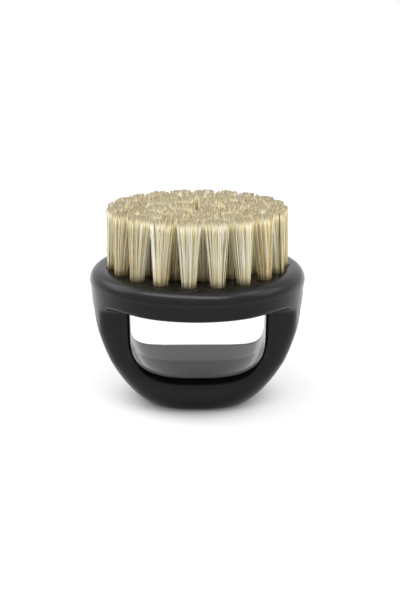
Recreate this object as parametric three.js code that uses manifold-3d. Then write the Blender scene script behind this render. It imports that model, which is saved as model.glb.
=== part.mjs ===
// Fade brush: a finger-ring handle, a drilled brush block and staple-set bristle tufts.
// Millimetres, +Z up. The flat foot stands on z = 0 and the ring's opening runs along Y.
import * as THREE from 'three';
import { mergeVertices } from 'three/addons/utils/BufferGeometryUtils.js';
import Module from 'manifold-3d';

const wasm = await Module();
wasm.setup();

// ---------------------------------------------------------------- driving dimensions

// Head
const HEAD_RADIUS = 34;          // widest circle of the brush block
const HEAD_HEIGHT = 40.3;        // height of that circle above the foot: the block's lower edge
const ROLL_WIDTH = 4.4;          // rolled upper edge: how far in it reaches
const ROLL_HEIGHT = 4.3;         // and how high it rises to the flat top
const BLOCK_STEP = 0.15;         // how far the block stands out past the band
const BAND_DEPTH = 4.5;          // handle band below the block
const BAND_TAPER = 0.25;         // how far the band draws in towards its lower edge
const BAND_ROUND = 0.9;          // rounded lower edge of the band
const SPIGOT_INSET = 4.5;        // boss under the block, seated in the handle: in from the rim
const SPIGOT_DEPTH = 2.2;
const FIT = 0.3;                 // clearance of every seated fit

// Finger ring
const BOWL_INSET = 0.45;         // ring outside, in from the band where it is widest
const BOWL_BELOW_HEAD = 0.6;     // how far below the block that is
const BAND_LAP = 0.1;            // the arms' corners stay this far inside the band's foot
const BOWL_DIP = 7.25;            // the oval it follows would dip this far below the foot
const BOWL_POWER = 1.87;         // squareness of that oval
const RING_DEPTH = 18.3;         // half depth of the ring under the head
const NOSE_DEPTH = 17.1;         // half depth of the foot strip
const NOSE_HEIGHT = 5.8;         // below this height the strip turns under
const FOOT_DEPTH = 12.7;         // half depth of the flat foot
const FOOT_POWER = 2.5;          // squareness of the ring's plan sections at the foot
const ARM_POWER = 5;             // and from ARM_HEIGHT up, where the arms' faces are flat
const ARM_HEIGHT = 20;
const OPENING_WIDTH = 20.9;      // half width of the finger opening at mid depth
const OPENING_FLOOR = 11.4;      // height of its floor at mid depth
const OPENING_WAIST = 25.4;      // below this height it rounds in to its floor
const OPENING_POWER = 3.2;       // squareness of its lower corners
const OPENING_DRAFT = 0.03;      // slope of its walls and floor, from mid depth out

// Tufts
const HOLE_RADIUS = 2.15;
const HOLE_DEPTH = 4.8;
const SLICE_DEPTH = 0.8;         // backing slice that each ring of tufts stands on
const SLICE_GAP = 0.3;
const RECESS_RIM = 0.1;          // flat land left round the slices' recess
const BRISTLE_LENGTH = 19.1;     // from the flat top of the block to the trimmed tips
const TRIM_STEP = 0.25;          // unevenness of the trim
const STRANDS_PER_TUFT = 10;
const STRAND_ROOT = 0.3;         // strand radius in the tuft's foot
const STRAND_TIP = 0.62;         // and at its spread tip
const STAPLE_WIDTH = 3.2;
const STAPLE_THICKNESS = 0.5;
const STAPLE_HEIGHT = 1.6;

const STRAND_GAP = 0.04;         // least gap between the tips of two tufts

// Rings of tufts, from the rim in: how many, the angle of the first from the front, and,
// as shares of the flat top's radius, the circle they are drilled on and how far out their
// tips fan. Each ring's tips fan in as far as the next ring's reach.
const TUFT_RINGS = [
  { name: 'tufts_outer_ring', count: 20, start: -6, root: 0.902, fan: 0.957 },
  { name: 'tufts_second_ring', count: 14, start: 4, root: 0.649, fan: 0.747 },
  { name: 'tufts_third_ring', count: 8, start: 12, root: 0.402, fan: 0.529 },
  { name: 'tufts_centre', count: 3, start: 30, root: 0.152, fan: 0.284 },
];
const CENTRE_FAN = 0.027;        // the centre tufts' tips stop this short of the middle

// Fineness
const AROUND = 56;               // facets round the head
const HOLE_SIDES = 10;
const ROLL_STEPS = 6;
const BAND_STEPS = 3;
const RING_LEVELS = 13;          // plan sections of the ring
const LEVEL_CROWDING = 1.7;      // crowds them towards the foot
const OPENING_STEPS = 24;
const TRIM_WAVES = 5;            // highs and lows of the trim across a tuft

// ---------------------------------------------------------------- derived sizes

const blockTop = HEAD_HEIGHT + ROLL_HEIGHT;
const bandBottom = HEAD_HEIGHT - BAND_DEPTH;
const bandMiddle = HEAD_HEIGHT - BAND_DEPTH / 2;
const sliceBottom = blockTop - SLICE_DEPTH;
const holeBottom = blockTop - HOLE_DEPTH;
const bandRadius = HEAD_RADIUS - BLOCK_STEP;
const spigotRadius = HEAD_RADIUS - SPIGOT_INSET;
const flatRadius = HEAD_RADIUS - ROLL_WIDTH;
const bandFoot = bandRadius - BAND_TAPER;
const bowlRadius = bandFoot - BOWL_INSET;
const bowlCentre = HEAD_HEIGHT - BOWL_BELOW_HEAD;

// ---------------------------------------------------------------- materials

const blackPlastic = (colour, roughness) =>
  new THREE.MeshStandardMaterial({ color: colour, roughness, metalness: 0 });
const handlePlastic = blackPlastic(0x1c1c1d, 0.42);
const blockPlastic = blackPlastic(0x222221, 0.36);
const bristleHair = new THREE.MeshStandardMaterial({ color: 0xd8c8a4, roughness: 0.7, metalness: 0 });
const stapleWire = new THREE.MeshStandardMaterial({ color: 0xb9b9b4, roughness: 0.35, metalness: 1 });

// ---------------------------------------------------------------- solids

// A closed geometry as a solid, with its faces turned outwards.
function solid(geometry) {
  const bare = geometry.clone();
  bare.deleteAttribute('normal');
  bare.deleteAttribute('uv');
  const merged = mergeVertices(bare, 1e-4);
  const points = merged.getAttribute('position');
  const corner = (index) => new THREE.Vector3().fromBufferAttribute(points, index);
  const source = merged.getIndex().array;
  const faces = [];
  let volume = 0;
  for (let i = 0; i < source.length; i += 3) {
    const [a, b, c] = source.slice(i, i + 3);
    if (a !== b && b !== c && c !== a) {
      faces.push([a, b, c]);
      volume += corner(a).dot(corner(b).cross(corner(c)));
    }
  }
  const turned = volume < 0 ? faces.map(([a, b, c]) => [a, c, b]) : faces;
  return new wasm.Manifold(new wasm.Mesh({
    numProp: 3,
    vertProperties: new Float32Array(points.array),
    triVerts: new Uint32Array(turned.flat()),
  }));
}

// A solid back as a geometry for a mesh.
function geometryOf(manifold) {
  const mesh = manifold.getMesh();
  const geometry = new THREE.BufferGeometry();
  geometry.setAttribute('position', new THREE.BufferAttribute(mesh.vertProperties, 3));
  geometry.setIndex(new THREE.BufferAttribute(mesh.triVerts, 1));
  geometry.computeVertexNormals();
  return geometry;
}

// A profile of [radius, height] pairs turned about the Z axis.
function turned(profile, sides = AROUND) {
  const points = profile.map(([radius, height]) => new THREE.Vector2(radius, height));
  return solid(new THREE.LatheGeometry(points, sides).rotateX(Math.PI / 2));
}

// Closed rings of equal length, skinned one to the next and capped at both ends.
function lofted(rings) {
  const count = rings[0].length;
  const points = rings.flat().flatMap((point) => point.toArray());
  const faces = [];
  for (let ring = 0; ring + 1 < rings.length; ring += 1) {
    for (let side = 0; side < count; side += 1) {
      const here = ring * count + side;
      const next = ring * count + ((side + 1) % count);
      faces.push(here, next, next + count, here, next + count, here + count);
    }
  }
  const last = (rings.length - 1) * count;
  for (let side = 1; side + 1 < count; side += 1) {
    faces.push(0, side + 1, side, last, last + side, last + side + 1);
  }
  const geometry = new THREE.BufferGeometry();
  geometry.setAttribute('position', new THREE.Float32BufferAttribute(points, 3));
  geometry.setIndex(faces);
  return solid(geometry);
}

// Points of a quarter ellipse from (r + width, z) to (r, z + height), ends included.
function quarter(r, z, width, height, steps) {
  return Array.from({ length: steps + 1 }, (_, i) => {
    const angle = (i / steps) * (Math.PI / 2);
    return [r + width * Math.cos(angle), z + height * Math.sin(angle)];
  });
}

// ---------------------------------------------------------------- handle

// Half width of the ring at a height.
function ringWidth(height) {
  const drop = Math.max(0, bowlCentre - height) / (bowlCentre + BOWL_DIP);
  return bowlRadius * (1 - drop ** BOWL_POWER) ** (1 / BOWL_POWER);
}

// Half depth of the ring at a height: it leans in from the head and turns under at the foot.
function ringDepth(height) {
  if (height >= NOSE_HEIGHT) {
    const up = (height - NOSE_HEIGHT) / (HEAD_HEIGHT - NOSE_HEIGHT);
    return NOSE_DEPTH + (RING_DEPTH - NOSE_DEPTH) * up;
  }
  const under = 1 - height / NOSE_HEIGHT;
  return FOOT_DEPTH + (NOSE_DEPTH - FOOT_DEPTH) * Math.sqrt(1 - under * under);
}

// A rounded outline: an oval whose corners fill out as its power grows.
function oval(angle, power) {
  const round = (value) => Math.sign(value) * Math.abs(value) ** (2 / power);
  return [round(Math.cos(angle)), round(Math.sin(angle))];
}

function planPower(height) {
  return FOOT_POWER + (ARM_POWER - FOOT_POWER) * Math.min(height / ARM_HEIGHT, 1);
}

// The ring before its opening is cut: plan sections from the flat foot up into the band,
// with their corners kept inside the band.
function ringBody() {
  const rings = Array.from({ length: RING_LEVELS + 1 }, (_, level) => {
    const height = bandMiddle * (level / RING_LEVELS) ** LEVEL_CROWDING;
    return Array.from({ length: AROUND }, (__, i) => {
      const [x, y] = oval((i / AROUND) * 2 * Math.PI, planPower(height));
      const point = new THREE.Vector2(ringWidth(height) * x, ringDepth(height) * y);
      point.clampLength(0, bandFoot - BAND_LAP);
      return new THREE.Vector3(point.x, point.y, height);
    });
  });
  return lofted(rings);
}

// One section of the finger opening, which opens out from mid depth to both faces.
function openingSection(depth) {
  const open = OPENING_DRAFT * Math.abs(depth);
  const width = OPENING_WIDTH + open;
  const drop = OPENING_WAIST - OPENING_FLOOR + open;
  const ring = [new THREE.Vector3(width, depth, HEAD_HEIGHT)];
  for (let i = 0; i <= OPENING_STEPS; i += 1) {
    const [x, down] = oval((i / OPENING_STEPS) * Math.PI, OPENING_POWER);
    ring.push(new THREE.Vector3(width * x, depth, OPENING_WAIST - drop * down));
  }
  ring.push(new THREE.Vector3(-width, depth, HEAD_HEIGHT));
  return ring;
}

function opening() {
  return lofted([-2 * RING_DEPTH, 0, 2 * RING_DEPTH].map(openingSection));
}

// The band that carries the block, with the recess for the block's spigot.
function band() {
  const edge = quarter(bandFoot - BAND_ROUND, bandBottom + BAND_ROUND, BAND_ROUND, -BAND_ROUND, BAND_STEPS);
  return turned([[0, bandBottom], ...edge.reverse(), [bandRadius, HEAD_HEIGHT], [0, HEAD_HEIGHT]]);
}

function handle() {
  const recessFloor = HEAD_HEIGHT - SPIGOT_DEPTH - FIT;
  const recess = turned([
    [0, recessFloor],
    [spigotRadius + FIT, recessFloor],
    [spigotRadius + FIT, blockTop],
    [0, blockTop],
  ]);
  return ringBody().subtract(opening()).add(band()).subtract(recess);
}

// ---------------------------------------------------------------- brush block

// Where each tuft of a ring stands: its angle, measured from the front towards +X.
function tuftAngles(ring) {
  return Array.from({ length: ring.count }, (_, i) =>
    THREE.MathUtils.degToRad(ring.start) + (i / ring.count) * 2 * Math.PI);
}

const outward = (angle) => new THREE.Vector3(Math.sin(angle), -Math.cos(angle), 0);
const sideways = (angle) => new THREE.Vector3(Math.cos(angle), Math.sin(angle), 0);

// The centre of a tuft's hole.
const holeCentre = (ring, angle) => outward(angle).multiplyScalar(flatRadius * ring.root);

function post(centre, radius, bottom, top) {
  return solid(new THREE.CylinderGeometry(radius, radius, top - bottom, HOLE_SIDES)
    .rotateX(Math.PI / 2)
    .translate(centre.x, centre.y, (top + bottom) / 2));
}

function together(solids) {
  return wasm.Manifold.union(solids);
}

function brushBlock() {
  const recess = flatRadius - RECESS_RIM;
  const body = turned([
    [0, HEAD_HEIGHT - SPIGOT_DEPTH],
    [spigotRadius, HEAD_HEIGHT - SPIGOT_DEPTH],
    [spigotRadius, HEAD_HEIGHT],
    [bandRadius, HEAD_HEIGHT],
    ...quarter(flatRadius, HEAD_HEIGHT, ROLL_WIDTH, ROLL_HEIGHT, ROLL_STEPS),
    [recess, blockTop],
    [recess, sliceBottom],
    [0, sliceBottom],
  ]);
  const holes = TUFT_RINGS.flatMap((ring) => tuftAngles(ring).map((angle) =>
    post(holeCentre(ring, angle), HOLE_RADIUS, holeBottom, blockTop)));
  return body.subtract(together(holes));
}

// ---------------------------------------------------------------- tufts

// One strand: three sides, from the tuft's foot to its trimmed tip.
function strand(foot, tip) {
  const ring = (centre, radius) => [0, 1, 2].map((side) => {
    const angle = (side / 3) * 2 * Math.PI;
    return centre.clone().add(new THREE.Vector3(radius * Math.cos(angle), radius * Math.sin(angle), 0));
  });
  return lofted([ring(foot, STRAND_ROOT), ring(tip, STRAND_TIP)]);
}

// Where the tips of a ring's tufts go: the circle they fan about, and how far they fan
// along it and across it, clear of the tufts beside them.
function tipFan(ring, inside) {
  const outer = flatRadius * ring.fan;
  const inner = flatRadius * (inside ? inside.fan : CENTRE_FAN);
  const middle = (outer + inner) / 2;
  const clear = STRAND_TIP + STRAND_GAP;
  return {
    middle,
    along: middle * Math.sin(Math.PI / ring.count) - clear,
    across: (outer - inner) / 2 - clear,
  };
}

// The strands of one tuft fan out about its centre line, so that none cross.
function tuftStrands(ring, fan, angle, turn) {
  const goldenAngle = Math.PI * (3 - Math.sqrt(5));
  const packed = HOLE_RADIUS - FIT - STRAND_ROOT;
  return Array.from({ length: STRANDS_PER_TUFT }, (_, i) => {
    const reach = Math.sqrt((i + 0.5) / STRANDS_PER_TUFT);
    const around = turn + i * goldenAngle;
    const along = reach * Math.cos(around);
    const across = reach * Math.sin(around);
    const foot = holeCentre(ring, angle)
      .addScaledVector(outward(angle), packed * across)
      .addScaledVector(sideways(angle), packed * along)
      .setZ(blockTop - SLICE_DEPTH / 2);
    const tip = outward(angle).multiplyScalar(fan.middle + fan.across * across)
      .addScaledVector(sideways(angle), fan.along * along)
      .setZ(blockTop + BRISTLE_LENGTH + TRIM_STEP * (Math.cos(TRIM_WAVES * around) - 1));
    return strand(foot, tip);
  });
}

// Where a ring's slice of backing ends: half way to the holes of the ring outside it.
function sliceEdge(ring, outside) {
  return outside ? flatRadius * (ring.root + outside.root) / 2 : flatRadius - RECESS_RIM - SLICE_GAP;
}

// A ring of tufts on its slice of backing, with their bound feet down in the holes.
function tuftRing(index) {
  const ring = TUFT_RINGS[index];
  const inside = TUFT_RINGS[index + 1];
  const edge = sliceEdge(ring, TUFT_RINGS[index - 1]);
  const innerEdge = inside ? sliceEdge(inside, ring) + SLICE_GAP : 0;
  const profile = [[innerEdge, sliceBottom], [edge, sliceBottom], [edge, blockTop], [innerEdge, blockTop]];
  const slice = turned(inside ? [...profile, profile[0]] : profile);
  const angles = tuftAngles(ring);
  const feet = angles.map((angle) => post(holeCentre(ring, angle),
    HOLE_RADIUS - FIT, holeBottom + STAPLE_HEIGHT + FIT, blockTop - SLICE_DEPTH / 2));
  const fan = tipFan(ring, inside);
  const strands = angles.flatMap((angle, i) => tuftStrands(ring, fan, angle, i));
  return together([slice, ...feet, ...strands]);
}

// ---------------------------------------------------------------- assembly

const brush = new THREE.Group();
brush.name = 'fade_brush';

function addPiece(name, geometry, material) {
  const mesh = new THREE.Mesh(geometry, material.clone());
  mesh.name = name;
  brush.add(mesh);
  return mesh;
}

addPiece('handle', geometryOf(handle()), handlePlastic);
addPiece('brush_block', geometryOf(brushBlock()), blockPlastic);

TUFT_RINGS.forEach((ring, index) => {
  addPiece(ring.name, geometryOf(tuftRing(index)), bristleHair);
});

// One anchor staple stands on the bottom of each hole.
let staples = 0;
for (const ring of TUFT_RINGS) {
  for (const angle of tuftAngles(ring)) {
    staples += 1;
    const staple = addPiece(`staple_${String(staples).padStart(2, '0')}`,
      new THREE.BoxGeometry(STAPLE_WIDTH, STAPLE_THICKNESS, STAPLE_HEIGHT), stapleWire);
    staple.position.copy(holeCentre(ring, angle).setZ(holeBottom + STAPLE_HEIGHT / 2));
    staple.rotation.z = angle;
  }
}

export default brush;
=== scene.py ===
"""Fade brush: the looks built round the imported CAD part."""

import math

import bmesh
import bpy
import numpy as np
from mathutils import Matrix, Vector


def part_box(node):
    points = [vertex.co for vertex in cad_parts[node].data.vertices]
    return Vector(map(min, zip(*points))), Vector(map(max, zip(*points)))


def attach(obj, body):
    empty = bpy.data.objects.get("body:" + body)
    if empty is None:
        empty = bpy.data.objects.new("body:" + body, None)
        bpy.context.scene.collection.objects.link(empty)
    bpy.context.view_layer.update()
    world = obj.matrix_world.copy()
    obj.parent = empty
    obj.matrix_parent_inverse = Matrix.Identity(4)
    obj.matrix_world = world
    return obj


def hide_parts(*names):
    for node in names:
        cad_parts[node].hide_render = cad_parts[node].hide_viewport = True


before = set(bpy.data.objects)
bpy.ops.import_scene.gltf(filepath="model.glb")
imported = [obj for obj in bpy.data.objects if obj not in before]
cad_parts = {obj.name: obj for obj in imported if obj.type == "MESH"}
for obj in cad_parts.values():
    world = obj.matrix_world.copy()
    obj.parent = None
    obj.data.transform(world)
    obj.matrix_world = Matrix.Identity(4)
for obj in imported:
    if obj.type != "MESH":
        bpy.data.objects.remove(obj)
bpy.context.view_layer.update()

MM = 0.001

# ------------------------------------------------------------------ sizes, in mm

_, block_high = (np.array(corner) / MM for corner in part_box("brush_block"))
_, handle_high = (np.array(corner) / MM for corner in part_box("handle"))
_, tuft_high = (np.array(corner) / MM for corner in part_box("tufts_outer_ring"))

HEAD_RADIUS = block_high[0]
BLOCK_TOP = block_high[2]
BLOCK_SEAT = handle_high[2]
BRISTLE_TOP = tuft_high[2]

# Block and band.
ROLL_WIDTH = 4.4                  # how far in the rolled upper edge reaches
ROLL_HEIGHT = BLOCK_TOP - BLOCK_SEAT
ROLL_LAND = 0.2                   # straight part of the block's side, under the roll
FLAT_RADIUS = HEAD_RADIUS - ROLL_WIDTH
SEAT_GAP = 0.005                  # keeps the block's underside clear of the band's top
SEAT_WIDTH = 1.5                  # width of the land that rests on the band
BLOCK_STEP = 0.15                 # how far the block stands out past the band
BAND_RADIUS = HEAD_RADIUS - BLOCK_STEP
BAND_DEPTH = 4.5
BAND_TAPER = 0.25
BAND_FOOT = BAND_RADIUS - BAND_TAPER
BAND_BOTTOM = BLOCK_SEAT - BAND_DEPTH
SEAM_ROUND = 0.02
# Round of the band's lower edge. It grows towards the arms, fades in just under the band,
# fades out below the seat, and is full where the ring has drawn in RIM_EASE under the band.
BAND_ROUND = 0.9
BAND_END_ROUND = 0.6
BAND_ENDS = (13, 21)
UNDER_BAND = (2.5, 0.5)
UNDER_SEAT = (0.5, 2)
RIM_EASE = 6.0

# Finger ring: an oval seen from the front, with a depth for each height.
BOWL_INSET = 0.45
BOWL_BELOW_HEAD = 0.6
BOWL_DIP = 7.25
BOWL_RADIUS = BAND_FOOT - BOWL_INSET
BOWL_CENTRE = BLOCK_SEAT - BOWL_BELOW_HEAD
BOWL_DROP = BOWL_CENTRE + BOWL_DIP
BOWL_POWER = 1.87
RING_DEPTH = 18.3
NOSE_DEPTH = 17.1
NOSE_HEIGHT = 5.8
FOOT_DEPTH = 12.7
FOOT_ROUND = 1.0
FOOT_POWER = 2.5
ARM_POWER = 5.5
ARM_HEIGHT = 16
BAND_LAP = 0.1
CORNER_ROUND = 0.8
FILLET = 3.6                      # where the ring runs in to the band's underside

# Finger opening: rounder in front, wider and squarer behind.
OPENING_WIDTH = 20.75
OPENING_FLOOR = 11.4
OPENING_WAIST = 25.4
OPENING_POWER = 2.9
OPENING_DRAFT = 0.03
BACK_WIDENING = 2.4
BACK_POWER = 5.5
BACK_START = -12                  # depth where it starts to change
BACK_RUN = 26                     # and the length over which it does
LIP_ROUND = 3.0
BACK_LIP_ROUND = 0.9
LIP_CHANGE = 6                    # the lip changes this far to either side of mid depth
LIP_POWER = 1.4

# Holes: a drilled cylinder whose mouth is broken by a small flare.
HOLE_RADIUS = 2.15
HOLE_DEPTH = 4.8
HOLE_MOUTH = ((0, -0.25), (0.08, -0.1), (0.3, 0.08), (0.3, 1))  # radius more, height over top
# Rings of tufts: the CAD node that each stands for, count, first angle from the front in
# degrees, hole circle and reach of the tips (both as shares of the flat top's radius).
RINGS = (
    ("tufts_outer_ring", 20, -6, 0.902, 0.957),
    ("tufts_second_ring", 14, 4, 0.649, 0.747),
    ("tufts_third_ring", 8, 12, 0.402, 0.529),
    ("tufts_centre", 3, 30, 0.152, 0.284),
)
CENTRE_FAN = 0.027                # the centre tufts' tips stop this short of the middle

rng = np.random.default_rng(7)

# ------------------------------------------------------------------ mesh helpers


def mesh_object(name, points, faces, smooth=True):
    """An object from points in mm and a list of face index arrays, one per face size."""
    mesh = bpy.data.meshes.new(name)
    mesh.vertices.add(len(points))
    mesh.vertices.foreach_set("co", (np.asarray(points) * MM).ravel())
    corners = np.concatenate([f.ravel() for f in faces])
    sizes = np.concatenate([np.full(len(f), f.shape[1]) for f in faces])
    mesh.loops.add(len(corners))
    mesh.loops.foreach_set("vertex_index", corners)
    mesh.polygons.add(len(sizes))
    starts = np.concatenate([[0], np.cumsum(sizes)[:-1]])
    mesh.polygons.foreach_set("loop_start", starts)
    mesh.polygons.foreach_set("use_smooth", np.full(len(sizes), smooth))
    mesh.update(calc_edges=True)
    mesh.validate()
    obj = bpy.data.objects.new(name, mesh)
    bpy.context.scene.collection.objects.link(obj)
    return obj


def sharpen(obj, degrees):
    """Smooth shading with the edges over an angle kept sharp."""
    limit = math.radians(degrees)
    mesh = bmesh.new()
    mesh.from_mesh(obj.data)
    for face in mesh.faces:
        face.smooth = True
    for edge in mesh.edges:
        edge.smooth = len(edge.link_faces) == 2 and edge.calc_face_angle(0) < limit
    mesh.to_mesh(obj.data)
    mesh.free()


def smoothstep(low, high, value):
    t = np.clip((value - low) / (high - low), 0, 1)
    return t * t * (3 - 2 * t)


def distance(field, x, y, z, h=0.02):
    """A field scaled by its slope, so that it reads as a distance near its surface."""
    f = field(x, y, z)
    slope = np.sqrt(
        (field(x + h, y, z) - f) ** 2
        + (field(x, y + h, z) - f) ** 2
        + (field(x, y, z + h) - f) ** 2
    )
    return f / np.maximum(slope / h, 0.01)


def both(a, b, r):
    """The space in both solids, with a convex round of radius r."""
    corner = np.hypot(np.maximum(r + a, 0), np.maximum(r + b, 0))
    return np.minimum(-r, np.maximum(a, b)) + corner


def eased(a, b, r, power):
    """The space in both solids, with a flatter, chamfer-like round."""
    corner = np.maximum(r + a, 0) ** power + np.maximum(r + b, 0) ** power
    return np.minimum(-r, np.maximum(a, b)) + corner ** (1 / power)


def either(a, b, r):
    """The space in either solid, with a concave fillet of radius r."""
    corner = np.hypot(np.maximum(r - a, 0), np.maximum(r - b, 0))
    return np.maximum(r, np.minimum(a, b)) - corner


def surface_net(field, low, high, step):
    """A quad mesh of the surface where the field is zero, inside a box."""
    axes = [np.arange(a, b + step, step) for a, b in zip(low, high)]
    grid = np.meshgrid(*axes, indexing="ij")
    values = field(*grid)
    inside = values < 0
    cells = np.array(values.shape) - 1
    total = np.zeros((*cells, 3))
    count = np.zeros(cells)
    corners = [(i, j, k) for i in (0, 1) for j in (0, 1) for k in (0, 1)]

    def part(array, offset):
        return array[tuple(slice(o, o + c) for o, c in zip(offset, cells))]

    # One point a cell: the mean of the places where its edges cross the surface.
    for a in corners:
        for axis in range(3):
            if a[axis]:
                continue
            b = tuple(v + (i == axis) for i, v in enumerate(a))
            va, vb = part(values, a), part(values, b)
            cross = part(inside, a) != part(inside, b)
            t = np.where(cross, va / np.where(cross, va - vb, 1), 0)
            for i in range(3):
                total[..., i] += cross * (a[i] + (t if i == axis else 0))
            count += cross
    used = count > 0
    index = np.full(cells, -1)
    index[used] = np.arange(used.sum())
    where = np.argwhere(used)
    points = np.array(low) + step * (where + total[used] / count[used][:, None])

    # One quad for each grid edge that crosses the surface, between its four cells.
    quads = []
    for axis in range(3):
        u, v = (axis + 1) % 3, (axis + 2) % 3
        first = [slice(None)] * 3
        first[axis] = slice(0, -1)
        second = [slice(None)] * 3
        second[axis] = slice(1, None)
        change = inside[tuple(first)] != inside[tuple(second)]
        out = inside[tuple(first)][change]
        at = np.argwhere(change)
        du, dv = np.eye(3, dtype=int)[u], np.eye(3, dtype=int)[v]
        ring = [index[tuple((at - d).T)] for d in (du + dv, dv, 0 * du, du)]
        quad = np.stack(ring, axis=1)
        quad[~out] = quad[~out][:, ::-1]
        quads.append(quad)
    return points, np.concatenate(quads)


def settle(field, points, quads, rounds=3, relax=2):
    """Evens the mesh out and puts its points on the surface."""
    def gradient(p, h=0.01):
        f = field(*p.T)
        return f, np.stack([field(*(p + h * e).T) - f for e in np.eye(3)], axis=1) / h

    def project(p):
        for _ in range(rounds):
            f, g = gradient(p)
            step = f / np.maximum((g * g).sum(axis=1), 0.2)
            p = p - np.clip(step, -0.3, 0.3)[:, None] * g
        return p

    points = project(points)
    for _ in range(relax):
        total = np.zeros_like(points)
        count = np.zeros(len(points))
        for i in range(4):
            for j in (1, 3):
                np.add.at(total, quads[:, i], points[quads[:, (i + j) % 4]])
                np.add.at(count, quads[:, i], 1)
        points = project(points + 0.5 * (total / count[:, None] - points))
    return points


def lathe(name, profile, sides):
    """A closed solid turned from [radius, height] pairs that start and end on the axis."""
    angles = np.arange(sides) / sides * 2 * math.pi
    rim = np.array(profile[1:-1])
    points = np.concatenate([
        np.stack([r * np.cos(angles), r * np.sin(angles), np.full(sides, z)], axis=1)
        for r, z in rim
    ])
    rows = len(rim)
    index = np.arange(rows * sides).reshape(rows, sides)
    after = np.roll(index, -1, axis=1)
    quads = np.stack([index[:-1], after[:-1], after[1:], index[1:]], axis=-1).reshape(-1, 4)
    caps = np.array([index[0][::-1]]), np.array([index[-1]])
    return mesh_object(name, points, [quads, *caps])


def arc(centre, radii, start, end, steps):
    """Points of an elliptic arc, angles in degrees."""
    angles = (math.radians(start + (end - start) * i / steps) for i in range(steps + 1))
    return [
        (centre[0] + radii[0] * math.cos(a), centre[1] + radii[1] * math.sin(a))
        for a in angles
    ]


# ------------------------------------------------------------------ handle

HANDLE_STEP = 0.5
HANDLE_MARGIN = 0.7               # room round the handle for the mesh's outer cells
HANDLE_MARGIN_Z = 1.0
HANDLE_SHARP = 50                 # degrees


def ring_width(z):
    drop = np.clip((BOWL_CENTRE - z) / BOWL_DROP, 0, 0.98)
    return BOWL_RADIUS * (1 - drop ** BOWL_POWER) ** (1 / BOWL_POWER)


def ring_depth(z):
    rise = (z - NOSE_HEIGHT) / (BLOCK_SEAT - NOSE_HEIGHT)
    under = np.clip(1 - z / NOSE_HEIGHT, 0, 1)
    turn = FOOT_DEPTH + (NOSE_DEPTH - FOOT_DEPTH) * np.sqrt(1 - under * under)
    return np.where(z < NOSE_HEIGHT, turn, NOSE_DEPTH + (RING_DEPTH - NOSE_DEPTH) * rise)


def ring_field(x, y, z):
    power = FOOT_POWER + (ARM_POWER - FOOT_POWER) * np.clip(z / ARM_HEIGHT, 0, 1)
    across = (np.abs(x) / ring_width(z)) ** power
    deep = (np.abs(y) / ring_depth(z)) ** power
    return (across + deep) ** (1 / power) - 1


def opening_field(x, y, z):
    back = np.clip((y - BACK_START) / BACK_RUN, 0, 1)
    power = OPENING_POWER + (BACK_POWER - OPENING_POWER) * back
    across = (np.abs(x) / (OPENING_WIDTH + BACK_WIDENING * back)) ** power
    drop = OPENING_WAIST - OPENING_FLOOR + OPENING_DRAFT * np.abs(y)
    down = (np.maximum(OPENING_WAIST - z, 0) / drop) ** power
    return (across + down) ** (1 / power) - 1


def handle_field(x, y, z):
    """Below zero inside the handle: the ring, its opening, the fillets and the band."""
    reach = np.hypot(x, y)
    ring = distance(ring_field, x, y, z)
    ring = both(ring, reach - BAND_FOOT + BAND_LAP, CORNER_ROUND)
    ring = both(ring, -z, FOOT_ROUND)
    front = smoothstep(LIP_CHANGE, -LIP_CHANGE, y)
    lip = BACK_LIP_ROUND + (LIP_ROUND - BACK_LIP_ROUND) * front
    ring = eased(ring, -distance(opening_field, x, y, z), lip, LIP_POWER)
    body = either(ring, BAND_BOTTOM - z, FILLET)
    radius = BAND_FOOT + (BAND_RADIUS - BAND_FOOT) * (z - BAND_BOTTOM) / BAND_DEPTH
    edge = BAND_ROUND + BAND_END_ROUND * smoothstep(*BAND_ENDS, np.abs(x))
    edge = edge * smoothstep(BAND_BOTTOM - UNDER_BAND[0], BAND_BOTTOM - UNDER_BAND[1], z)
    edge = edge * smoothstep(0, RIM_EASE, ring)
    edge = edge * smoothstep(BLOCK_SEAT - UNDER_SEAT[0], BLOCK_SEAT - UNDER_SEAT[1], z)
    body = both(body, reach - radius, edge + SEAM_ROUND)
    return both(body, z - BLOCK_SEAT, SEAM_ROUND)


def build_handle():
    side = HEAD_RADIUS + HANDLE_MARGIN
    low = (-side, -side, -HANDLE_MARGIN_Z)
    high = (side, side, BLOCK_SEAT + HANDLE_MARGIN_Z)
    points, quads = surface_net(handle_field, low, high, HANDLE_STEP)
    points = settle(handle_field, points, quads)
    # The band meets the block in a true edge, which the mesh's cells would cut across.
    reach = np.hypot(points[:, 0], points[:, 1])
    outside = reach > BAND_RADIUS - 0.8 * HANDLE_STEP
    edge = outside & (points[:, 2] > BLOCK_SEAT - 0.6 * HANDLE_STEP)
    points[edge, :2] *= (BAND_RADIUS / reach[edge])[:, None]
    points[edge, 2] = BLOCK_SEAT
    obj = mesh_object("finger_ring_handle", points, [quads])
    sharpen(obj, HANDLE_SHARP)
    return obj


# ------------------------------------------------------------------ brush block

BLOCK_SIDES = 192
HOLE_SIDES = 32
BLOCK_SHARP = 30                  # degrees


def tuft_places(count, start, root):
    """Each tuft's place on its ring, and the directions outwards and along the ring."""
    angles = math.radians(start) + np.arange(count) / count * 2 * math.pi
    out = np.stack([np.sin(angles), -np.cos(angles)], axis=1)
    side = np.stack([np.cos(angles), np.sin(angles)], axis=1)
    return out * root * FLAT_RADIUS, out, side


def hole_cutter(place):
    bottom = BLOCK_TOP - HOLE_DEPTH
    mouth = [(HOLE_RADIUS + more, BLOCK_TOP + rise) for more, rise in HOLE_MOUTH]
    profile = [(0, bottom), (HOLE_RADIUS, bottom), *mouth, (0, mouth[-1][1])]
    cutter = lathe("cutter", profile, HOLE_SIDES)
    cutter.data.transform(Matrix.Translation((place[0] * MM, place[1] * MM, 0)))
    return cutter


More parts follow.
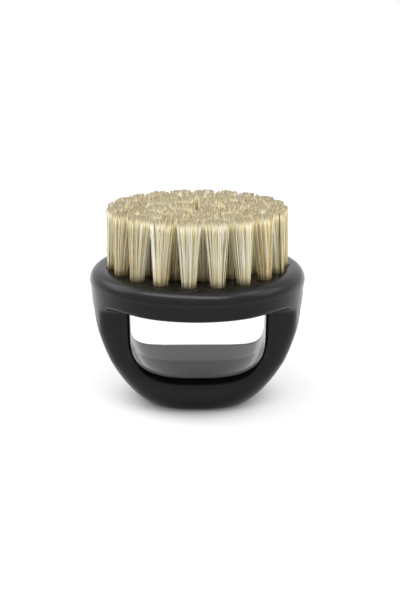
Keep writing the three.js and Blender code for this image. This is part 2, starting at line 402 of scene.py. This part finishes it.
def build_block():
    seat = BLOCK_SEAT + SEAT_GAP
    corner = (HEAD_RADIUS - SEAM_ROUND, seat + SEAM_ROUND)
    roll = (FLAT_RADIUS, BLOCK_SEAT + ROLL_LAND)
    profile = [
        (0, seat),
        (BAND_RADIUS - SEAT_WIDTH, seat),
        *arc(corner, (SEAM_ROUND, SEAM_ROUND), -90, 0, 4),
        *arc(roll, (ROLL_WIDTH, ROLL_HEIGHT - ROLL_LAND), 0, 90, 24),
        (0, BLOCK_TOP),
    ]
    block = lathe("brush_block_body", profile, BLOCK_SIDES)
    cutters = [
        hole_cutter(place)
        for _, count, start, root, _ in RINGS
        for place in tuft_places(count, start, root)[0]
    ]
    with bpy.context.temp_override(
        active_object=cutters[0], selected_objects=cutters, selected_editable_objects=cutters
    ):
        bpy.ops.object.join()
    boolean = block.modifiers.new("holes", "BOOLEAN")
    boolean.object = cutters[0]
    boolean.operation = "DIFFERENCE"
    boolean.solver = "EXACT"
    with bpy.context.temp_override(object=block, active_object=block):
        bpy.ops.object.modifier_apply(modifier="holes")
    bpy.data.objects.remove(cutters[0])
    sharpen(block, BLOCK_SHARP)
    return block


# ------------------------------------------------------------------ bristles

HAIRS_PER_TUFT = 150
HAIR_POINTS = 7
HAIR_RADIUS = 0.2
HAIR_SIZES = (0.4, 1.1)           # thinnest and thickest, as shares of that radius
HAIR_TAPER = 0.4
ROOT_DEPTH = 1.4                  # how far down its hole a hair starts
ROOT_SPREAD = 1.9                 # radius of a tuft in its hole
FAN = 0.94                        # how much of its room at the tips each tuft fills
FAN_SQUARE = 0.16                 # how far it fills its corners
PACKING = 0.035                   # unevenness of the hairs' places in the tuft
LOCKS = 22                        # clumps that its tips gather in
LOCK_REACH = 0.93
LOCK_PACKING = 0.06
LOCK_PULL = (0.1, 0.6)
STRAYS = 0.012                    # share of hairs that stand away, from this far out
STRAY_FROM = 0.7
LEAN = 0.1
STRAY_LEAN = 1.6
STRAY_SHORT = (1, 9)
BEND = 0.12
STRAY_BEND = 0.6
WAVE = 0.04
WAVES = 2.6
SPREAD = (0.95, 1.25)             # powers of height by which the hairs fan out
# Trim: each hair and lock is a little short, a few hairs more so, and the tuft is domed.
TRIM = 0.12
LOCK_TRIM = 0.2
SHORT_SHARE = 0.03
SHORT_BY = (0.5, 3.0)
DOME = 0.5
# The mat parts in a narrow slot from front to back at its middle, faded at both ends.
SLOT = 1.0
SLOT_FRONT = (-8, -4)
SLOT_BACK = (20, 14)
# Tone: 0 dark to 1 pale, partly each lock's and mostly each hair's own.
LOCK_TONE = 0.2
HAIR_TONE = 0.8
TUFT_TONE = 0.03
TONE_FLOOR = 0.1
DARK_SHARE = 0.008


def hair_mesh(name, paths, radii, tone):
    """Three-sided hairs: paths (hair, point, xyz), radii (hair, point), tone (hair)."""
    hairs, steps, _ = paths.shape
    spin = rng.uniform(0, 2 * math.pi, hairs)[:, None] + np.arange(3) * 2 * math.pi / 3
    ring = np.stack([np.cos(spin), np.sin(spin), np.zeros_like(spin)], axis=-1)
    points = paths[:, :, None, :] + radii[:, :, None, None] * ring[:, None, :, :]
    index = np.arange(hairs * steps * 3).reshape(hairs, steps, 3)
    after = np.roll(index, -1, axis=2)
    quads = np.stack([index[:, :-1], after[:, :-1], after[:, 1:], index[:, 1:]], axis=-1)
    caps = np.concatenate([index[:, 0, ::-1], index[:, -1]])
    obj = mesh_object(name, points.reshape(-1, 3), [quads.reshape(-1, 4), caps])
    shape = (hairs, steps, 3)
    along = np.broadcast_to(np.linspace(0, 1, steps)[None, :, None], shape)
    tones = np.broadcast_to(tone[:, None, None], shape)
    for label, values in (("along", along), ("tone", tones)):
        attribute = obj.data.attributes.new(label, "FLOAT", "POINT")
        flat = np.ascontiguousarray(values, dtype=np.float32).ravel()
        attribute.data.foreach_set("value", flat)
    return obj


def sunflower(count):
    """Evenly packed points of a unit disc."""
    i = np.arange(count)
    reach = np.sqrt((i + 0.5) / count)
    angle = i * math.pi * (3 - math.sqrt(5))
    return np.stack([reach * np.cos(angle), reach * np.sin(angle)], axis=1)


def tuft(place, out, side, middle, along, across):
    """The hairs of one tuft, from its hole to its fanned tips."""
    count = HAIRS_PER_TUFT
    disc = sunflower(count) + rng.normal(0, PACKING, (count, 2))
    locks = sunflower(LOCKS) * LOCK_REACH + rng.normal(0, LOCK_PACKING, (LOCKS, 2))
    lock = np.argmin(((disc[:, None] - locks[None]) ** 2).sum(axis=2), axis=1)
    fan = disc + rng.uniform(*LOCK_PULL, LOCKS)[lock][:, None] * (locks[lock] - disc)
    reach = np.hypot(*fan.T)
    fan = fan * (1 + FAN_SQUARE * np.sin(2 * np.arctan2(fan[:, 1], fan[:, 0]))[:, None] ** 2)
    foot = place + ROOT_SPREAD * (disc[:, :1] * side + disc[:, 1:] * out)
    stray = (rng.uniform(0, 1, count) < STRAYS) & (reach > STRAY_FROM)
    lean = rng.normal(0, np.where(stray, STRAY_LEAN, LEAN)[:, None], (count, 2))
    tip = out * middle + (along * fan[:, :1] + lean[:, :1]) * side
    tip = tip + (across * fan[:, 1:] + lean[:, 1:]) * out
    slot = SLOT * smoothstep(*SLOT_FRONT, tip[:, 1]) * smoothstep(*SLOT_BACK, tip[:, 1])
    left, right = np.minimum(tip[:, 0], -slot), np.maximum(tip[:, 0], slot)
    tip[:, 0] = np.where(tip[:, 0] < 0, left, right)

    bottom = BLOCK_TOP - ROOT_DEPTH
    trim = BRISTLE_TOP - np.abs(rng.normal(0, TRIM, count))
    trim = trim - LOCK_TRIM * rng.uniform(0, 1, LOCKS)[lock]
    short = rng.uniform(0, 1, count) < SHORT_SHARE
    trim -= DOME * reach ** 4 + short * rng.uniform(*SHORT_BY, count)
    trim -= stray * rng.uniform(*STRAY_SHORT, count)

    t = np.linspace(0, 1, HAIR_POINTS)
    spread = t ** rng.uniform(*SPREAD, count)[:, None]
    bend = rng.normal(0, np.where(stray, STRAY_BEND, BEND)[:, None, None], (count, 1, 2))
    bend = bend * np.sin(math.pi * t)[None, :, None]
    curl = (np.sin(WAVES * math.pi * t + 1) * t)[None, :, None]
    wave = rng.normal(0, WAVE, (count, 1, 2)) * curl
    flat = foot[:, None] + (tip - foot)[:, None] * spread[:, :, None] + bend + wave
    height = bottom + (trim - bottom)[:, None] * t[None]
    paths = np.concatenate([flat, height[:, :, None]], axis=2)

    taper = (1 - HAIR_TAPER * t ** 2)[None]
    radius = HAIR_RADIUS * rng.uniform(*HAIR_SIZES, count)[:, None] * taper
    tone = LOCK_TONE * rng.beta(1.7, 0.9, LOCKS)[lock] + HAIR_TONE * rng.beta(0.9, 0.55, count)
    tone = np.clip(tone + rng.normal(0, TUFT_TONE), TONE_FLOOR, 1)
    tone[rng.uniform(0, 1, count) < DARK_SHARE] = 0
    return paths, radius, tone


def build_tufts():
    objects = []
    for i, (node, count, start, root, reach) in enumerate(RINGS):
        inner = RINGS[i + 1][4] if i + 1 < len(RINGS) else CENTRE_FAN
        middle = FLAT_RADIUS * (reach + inner) / 2
        along = middle * math.sin(math.pi / count) * FAN
        across = FLAT_RADIUS * (reach - inner) / 2 * FAN
        places = zip(*tuft_places(count, start, root))
        parts = [tuft(place, out, side, middle, along, across) for place, out, side in places]
        paths, radii, tone = (np.concatenate(values) for values in zip(*parts))
        hairs = hair_mesh(f"bristles_{node[6:]}", paths, radii, tone)
        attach(hairs, "root")
        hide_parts(node)
        objects.append(hairs)
    return objects


# ------------------------------------------------------------------ node trees


def grey(level):
    return (level, level, level)


class Nodes:
    """A short way to write a node tree."""

    def __init__(self, tree):
        self.tree = tree

    def add(self, kind, inputs=None, **settings):
        node = self.tree.nodes.new(kind)
        for key, value in settings.items():
            setattr(node, key, value)
        for key, value in (inputs or {}).items():
            if isinstance(value, bpy.types.NodeSocket):
                self.tree.links.new(value, node.inputs[key])
            else:
                node.inputs[key].default_value = value
        return node

    def maths(self, operation, *values):
        node = self.add("ShaderNodeMath", dict(enumerate(values)), operation=operation)
        return node.outputs[0]

    def place(self):
        return self.add("ShaderNodeTexCoord").outputs["Object"]

    def noise(self, vector, **inputs):
        values = {key.capitalize(): value for key, value in inputs.items()}
        return self.add("ShaderNodeTexNoise", {"Vector": vector, **values}).outputs["Fac"]

    def ranged(self, value, **limits):
        """A value mapped to a range: from_min, from_max, to_min and to_max."""
        ends = {key.replace("_", " ").title(): value for key, value in limits.items()}
        return self.add("ShaderNodeMapRange", {"Value": value, **ends}).outputs["Result"]

    def ramp(self, value, stops):
        """A colour that follows a value between given stops."""
        node = self.add("ShaderNodeValToRGB", {"Fac": value})
        elements = node.color_ramp.elements
        while len(elements) < len(stops):
            elements.new(0.5)
        for element, (position, colour) in zip(elements, stops):
            element.position = position
            element.color = (*colour, 1)
        return node.outputs["Color"]

    def mix(self, factor, a, b, blend="MIX"):
        inputs = {"Factor": factor, "A": a, "B": b}
        node = self.add("ShaderNodeMix", inputs, data_type="RGBA", blend_type=blend)
        return node.outputs["Result"]

    def seen_directly(self):
        """1 for a camera, glossy or transmission ray, else 0."""
        path = self.add("ShaderNodeLightPath").outputs
        mirrored = self.maths("MAXIMUM", path["Is Glossy Ray"], path["Is Transmission Ray"])
        return self.maths("MAXIMUM", path["Is Camera Ray"], mirrored)


class Surface(Nodes):
    """The node tree of a material, round its Principled shader."""

    def __init__(self, name):
        self.material = bpy.data.materials.new(name)
        self.material.use_nodes = True
        super().__init__(self.material.node_tree)
        self.shader = self.tree.nodes["Principled BSDF"]

    def set(self, key, value):
        if isinstance(value, bpy.types.NodeSocket):
            self.tree.links.new(value, self.shader.inputs[key])
        else:
            self.shader.inputs[key].default_value = value

    def bump(self, height, strength, depth):
        inputs = {"Height": height, "Strength": strength, "Distance": depth}
        self.set("Normal", self.add("ShaderNodeBump", inputs).outputs["Normal"])


# ------------------------------------------------------------------ materials

PLASTIC_IOR = 1.5
HAIR_IOR = 1.5
# Hair colour for each tone, and painted shade along the hair: darker at the root, where the tufts
# shade it, and at the cut tip, which darkens the lit top of the mat.
HAIR_COLOURS = (
    (0.05, (0.035, 0.026, 0.018)),
    (0.12, (0.66, 0.48, 0.2)),
    (0.35, (0.88, 0.75, 0.4)),
    (0.6, (0.97, 0.9, 0.61)),
    (0.85, (1.0, 0.97, 0.82)),
)
HAIR_PAINTED_SHADE = (
    (0.0, (0.5, 0.43, 0.3)),
    (0.2, (0.88, 0.84, 0.75)),
    (0.45, (1, 1, 1)),
    (0.92, (1, 1, 1)),
    (0.985, (0.42, 0.38, 0.31)),
    (1.0, (0.26, 0.23, 0.18)),
)
# How far out the table's white glow reaches, and its strength at each distance, in mm, from under
# the brush. Held off near the brush and ramped up outwards, it paints the falloff of the brush's
# shadow; far out it keeps the table white.
GLOW_REACH = 500.0
TABLE_GLOW_AND_PAINTED_SHADOW = (
    (13, 0.0), (14, 0.07), (16, 0.17), (18, 0.28), (20, 0.37), (22, 0.43), (25, 0.46),
    (30, 0.46), (36, 0.44), (50, 0.38), (100, 0.4), (220, 0.6), (500, 0.85),
)
GLOW_SQUEEZE = (0.8, 1, 0)        # the glow, and with it the painted shadow, reaches further to the sides than in depth
TABLE_GREY = 0.5


def plastic(name, shade, roughness, grain, shine):
    """Moulded satin plastic with a fine grain and faint handling marks."""
    surface = Surface(name)
    place = surface.place()
    fine = surface.noise(place, scale=2600.0, detail=3.0, roughness=0.6)
    broad = surface.noise(place, scale=90.0, detail=4.0, roughness=0.55)
    shades = [(0.3, grey(shade * 0.85)), (0.7, grey(shade * 1.15))]
    surface.set("Base Color", surface.ramp(broad, shades))
    surface.set("Roughness", surface.ranged(
        broad, from_min=0.3, from_max=0.7, to_min=roughness - 0.03, to_max=roughness + 0.04))
    surface.bump(fine, grain, 0.00005)
    surface.set("IOR", PLASTIC_IOR)
    surface.set("Specular IOR Level", shine)
    return surface.material


def bristle():
    """Natural hair: a colour for each strand, mottled along it, with painted shade darkening both
    ends.
    """
    surface = Surface("natural_bristle")
    place = surface.place()
    tone = surface.add("ShaderNodeAttribute", attribute_name="tone").outputs["Fac"]
    along = surface.add("ShaderNodeAttribute", attribute_name="along").outputs["Fac"]
    noise = surface.noise(place, scale=420.0, detail=2.0)
    shift = surface.maths("MULTIPLY_ADD", noise, 0.16, -0.08)
    colour = surface.ramp(surface.maths("ADD", tone, shift), HAIR_COLOURS)
    # painted shade: each hair darkened at its root and at its cut tip
    ends = surface.ramp(along, HAIR_PAINTED_SHADE)
    surface.set("Base Color", surface.mix(1, colour, ends, blend="MULTIPLY"))
    surface.set("Roughness", surface.ranged(noise, to_min=0.35, to_max=0.6))
    surface.set("IOR", HAIR_IOR)
    return surface.material


def wire():
    """Bright drawn wire with faint die lines."""
    surface = Surface("anchor_wire")
    inputs = {"Vector": surface.place(), "Scale": (4000, 4000, 300)}
    stretched = surface.add("ShaderNodeMapping", inputs).outputs["Vector"]
    lines = surface.noise(stretched, scale=1.0, detail=2.0)
    surface.set("Base Color", (0.6, 0.6, 0.58, 1))
    surface.set("Metallic", 1)
    surface.set("Roughness", surface.ranged(lines, to_min=0.25, to_max=0.45))
    surface.bump(lines, 0.2, 0.00002)
    return surface.material


def white_table():
    """It takes the object's shadow near the brush and adds a painted shadow: a white glow held off
    under the brush that grows with distance. Elsewhere it reads as white.
    """
    surface = Surface("white_table")
    place = surface.place()
    grain = surface.noise(place, scale=60.0, detail=3.0)
    surface.set("Base Color", (*grey(TABLE_GREY), 1))
    surface.set("Specular IOR Level", 0)
    surface.set("Roughness", surface.ranged(grain, to_min=0.85, to_max=0.95))
    squeeze = surface.add("ShaderNodeVectorMath", {0: place, 1: GLOW_SQUEEZE}, operation="MULTIPLY")
    apart = surface.add("ShaderNodeVectorMath", {0: squeeze.outputs[0]}, operation="LENGTH")
    share = surface.maths("DIVIDE", apart.outputs["Value"], GLOW_REACH * MM)
    # painted shadow: the white glow, held off under the brush and growing outwards
    clear = surface.ramp(share, [(at / GLOW_REACH, grey(level)) for at, level in TABLE_GLOW_AND_PAINTED_SHADOW])
    surface.set("Emission Color", (1, 1, 1, 1))
    surface.set("Emission Strength", surface.maths("MULTIPLY", surface.seen_directly(), clear))
    return surface.material


# ------------------------------------------------------------------ pieces

handle = build_handle()
handle.data.materials.append(plastic("satin_black_handle", 0.004, 0.17, 0.08, 0.208))
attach(handle, "root")
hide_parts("handle")

block = build_block()
block.data.materials.clear()
block.data.materials.append(plastic("satin_black_block", 0.005, 0.24, 0.06, 0.235))
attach(block, "root")
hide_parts("brush_block")

hair = bristle()
for tufts in build_tufts():
    tufts.data.materials.append(hair)

steel = wire()
for name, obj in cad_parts.items():
    if name.startswith("staple_"):
        obj.data.materials.clear()
        obj.data.materials.append(steel)

# ------------------------------------------------------------------ stage

TABLE_HALF = 3000
table = mesh_object(
    "table",
    TABLE_HALF * np.array([(-1, -1, 0), (1, -1, 0), (1, 1, 0), (-1, 1, 0)], dtype=float),
    [np.array([[0, 1, 2, 3]])],
    smooth=False,
)
table.data.materials.append(white_table())

# The studio that lights the brush: behind it a wall with a bright strip part way up, in
# front a dim room that brightens to both sides. Rays that look at it see plain white.
WALL = (
    (0.0, 0.45), (0.2, 0.4), (0.27, 0.5), (0.34, 0.75),
    (0.42, 1.55), (0.52, 1.5), (0.66, 0.5), (1.0, 0.4),
)
ROOM = (
    (0.05, 1.0), (0.2, 0.9), (0.32, 0.52), (0.5, 0.5),
    (0.6, 0.55), (0.69, 0.8), (0.83, 1.2), (0.95, 1.5),
)
WALL_STARTS, WALL_FULL = -0.1, 0.75

world = bpy.data.worlds.new("studio")
bpy.context.scene.world = world
world.use_nodes = True
world.node_tree.nodes.clear()
studio = Nodes(world.node_tree)
towards = studio.add("ShaderNodeTexCoord").outputs["Generated"]
split = studio.add("ShaderNodeSeparateXYZ", {"Vector": towards}).outputs
wall = studio.ramp(split["Z"], [(at, grey(level)) for at, level in WALL])
aside = studio.maths("MULTIPLY_ADD", split["X"], 0.5, 0.5)
room = studio.ramp(aside, [(at, grey(level)) for at, level in ROOM])
share = studio.ranged(split["Y"], from_min=WALL_STARTS, from_max=WALL_FULL)
lit = studio.mix(share, room, wall)
backdrop = studio.mix(studio.seen_directly(), lit, (1, 1, 1, 1))
light = studio.add("ShaderNodeBackground", {"Color": backdrop, "Strength": 1.0})
studio.add("ShaderNodeOutputWorld", {"Surface": light.outputs[0]})


def softbox(name, place, aim, width, height, power):
    data = bpy.data.lights.new(name, "AREA")
    data.shape = "RECTANGLE"
    data.size = width
    data.size_y = height
    data.energy = power
    obj = bpy.data.objects.new(name, data)
    obj.location = place
    obj.rotation_euler = (Vector(aim) - Vector(place)).to_track_quat("-Z", "Y").to_euler()
    bpy.context.scene.collection.objects.link(obj)


centre = Vector((0, 0, 0.035))
softbox("overhead", (-0.1, -0.22, 0.82), centre, 1.0, 0.24, 5.6)
softbox("overhead_right", (0.5, -0.02, 0.8), centre, 0.36, 0.24, 0.9)
softbox("left", (-1.05, 0.42, 0.95), centre, 0.9, 0.7, 4.7)
softbox("right", (1.2, 0.05, 0.9), centre, 0.8, 0.5, 2.4)

# ------------------------------------------------------------------ camera

# Fitted to the photograph. The pan is 2.7 pixels at a focal length of 835.8 pixels.
EYE = (0, -0.2564, 0.113)
ROUND_BRUSH = math.radians(0.6)
PITCH = math.radians(17.48)
PAN = math.atan(2.7 / 835.8)
LENS = 50.15

camera_data = bpy.data.cameras.new("camera")
camera_data.sensor_width = 36
camera_data.lens = LENS
camera_data.clip_start = 0.01
camera = bpy.data.objects.new("camera", camera_data)
place = Matrix.Rotation(-ROUND_BRUSH, 4, "Z") @ Matrix.Translation(EYE)
look = Matrix.Rotation(-PAN, 4, "Z") @ Matrix.Rotation(math.pi / 2 - PITCH, 4, "X")
camera.matrix_world = place @ look
bpy.context.scene.collection.objects.link(camera)
bpy.context.scene.camera = camera

bpy.context.scene.view_settings.view_transform = "Standard"
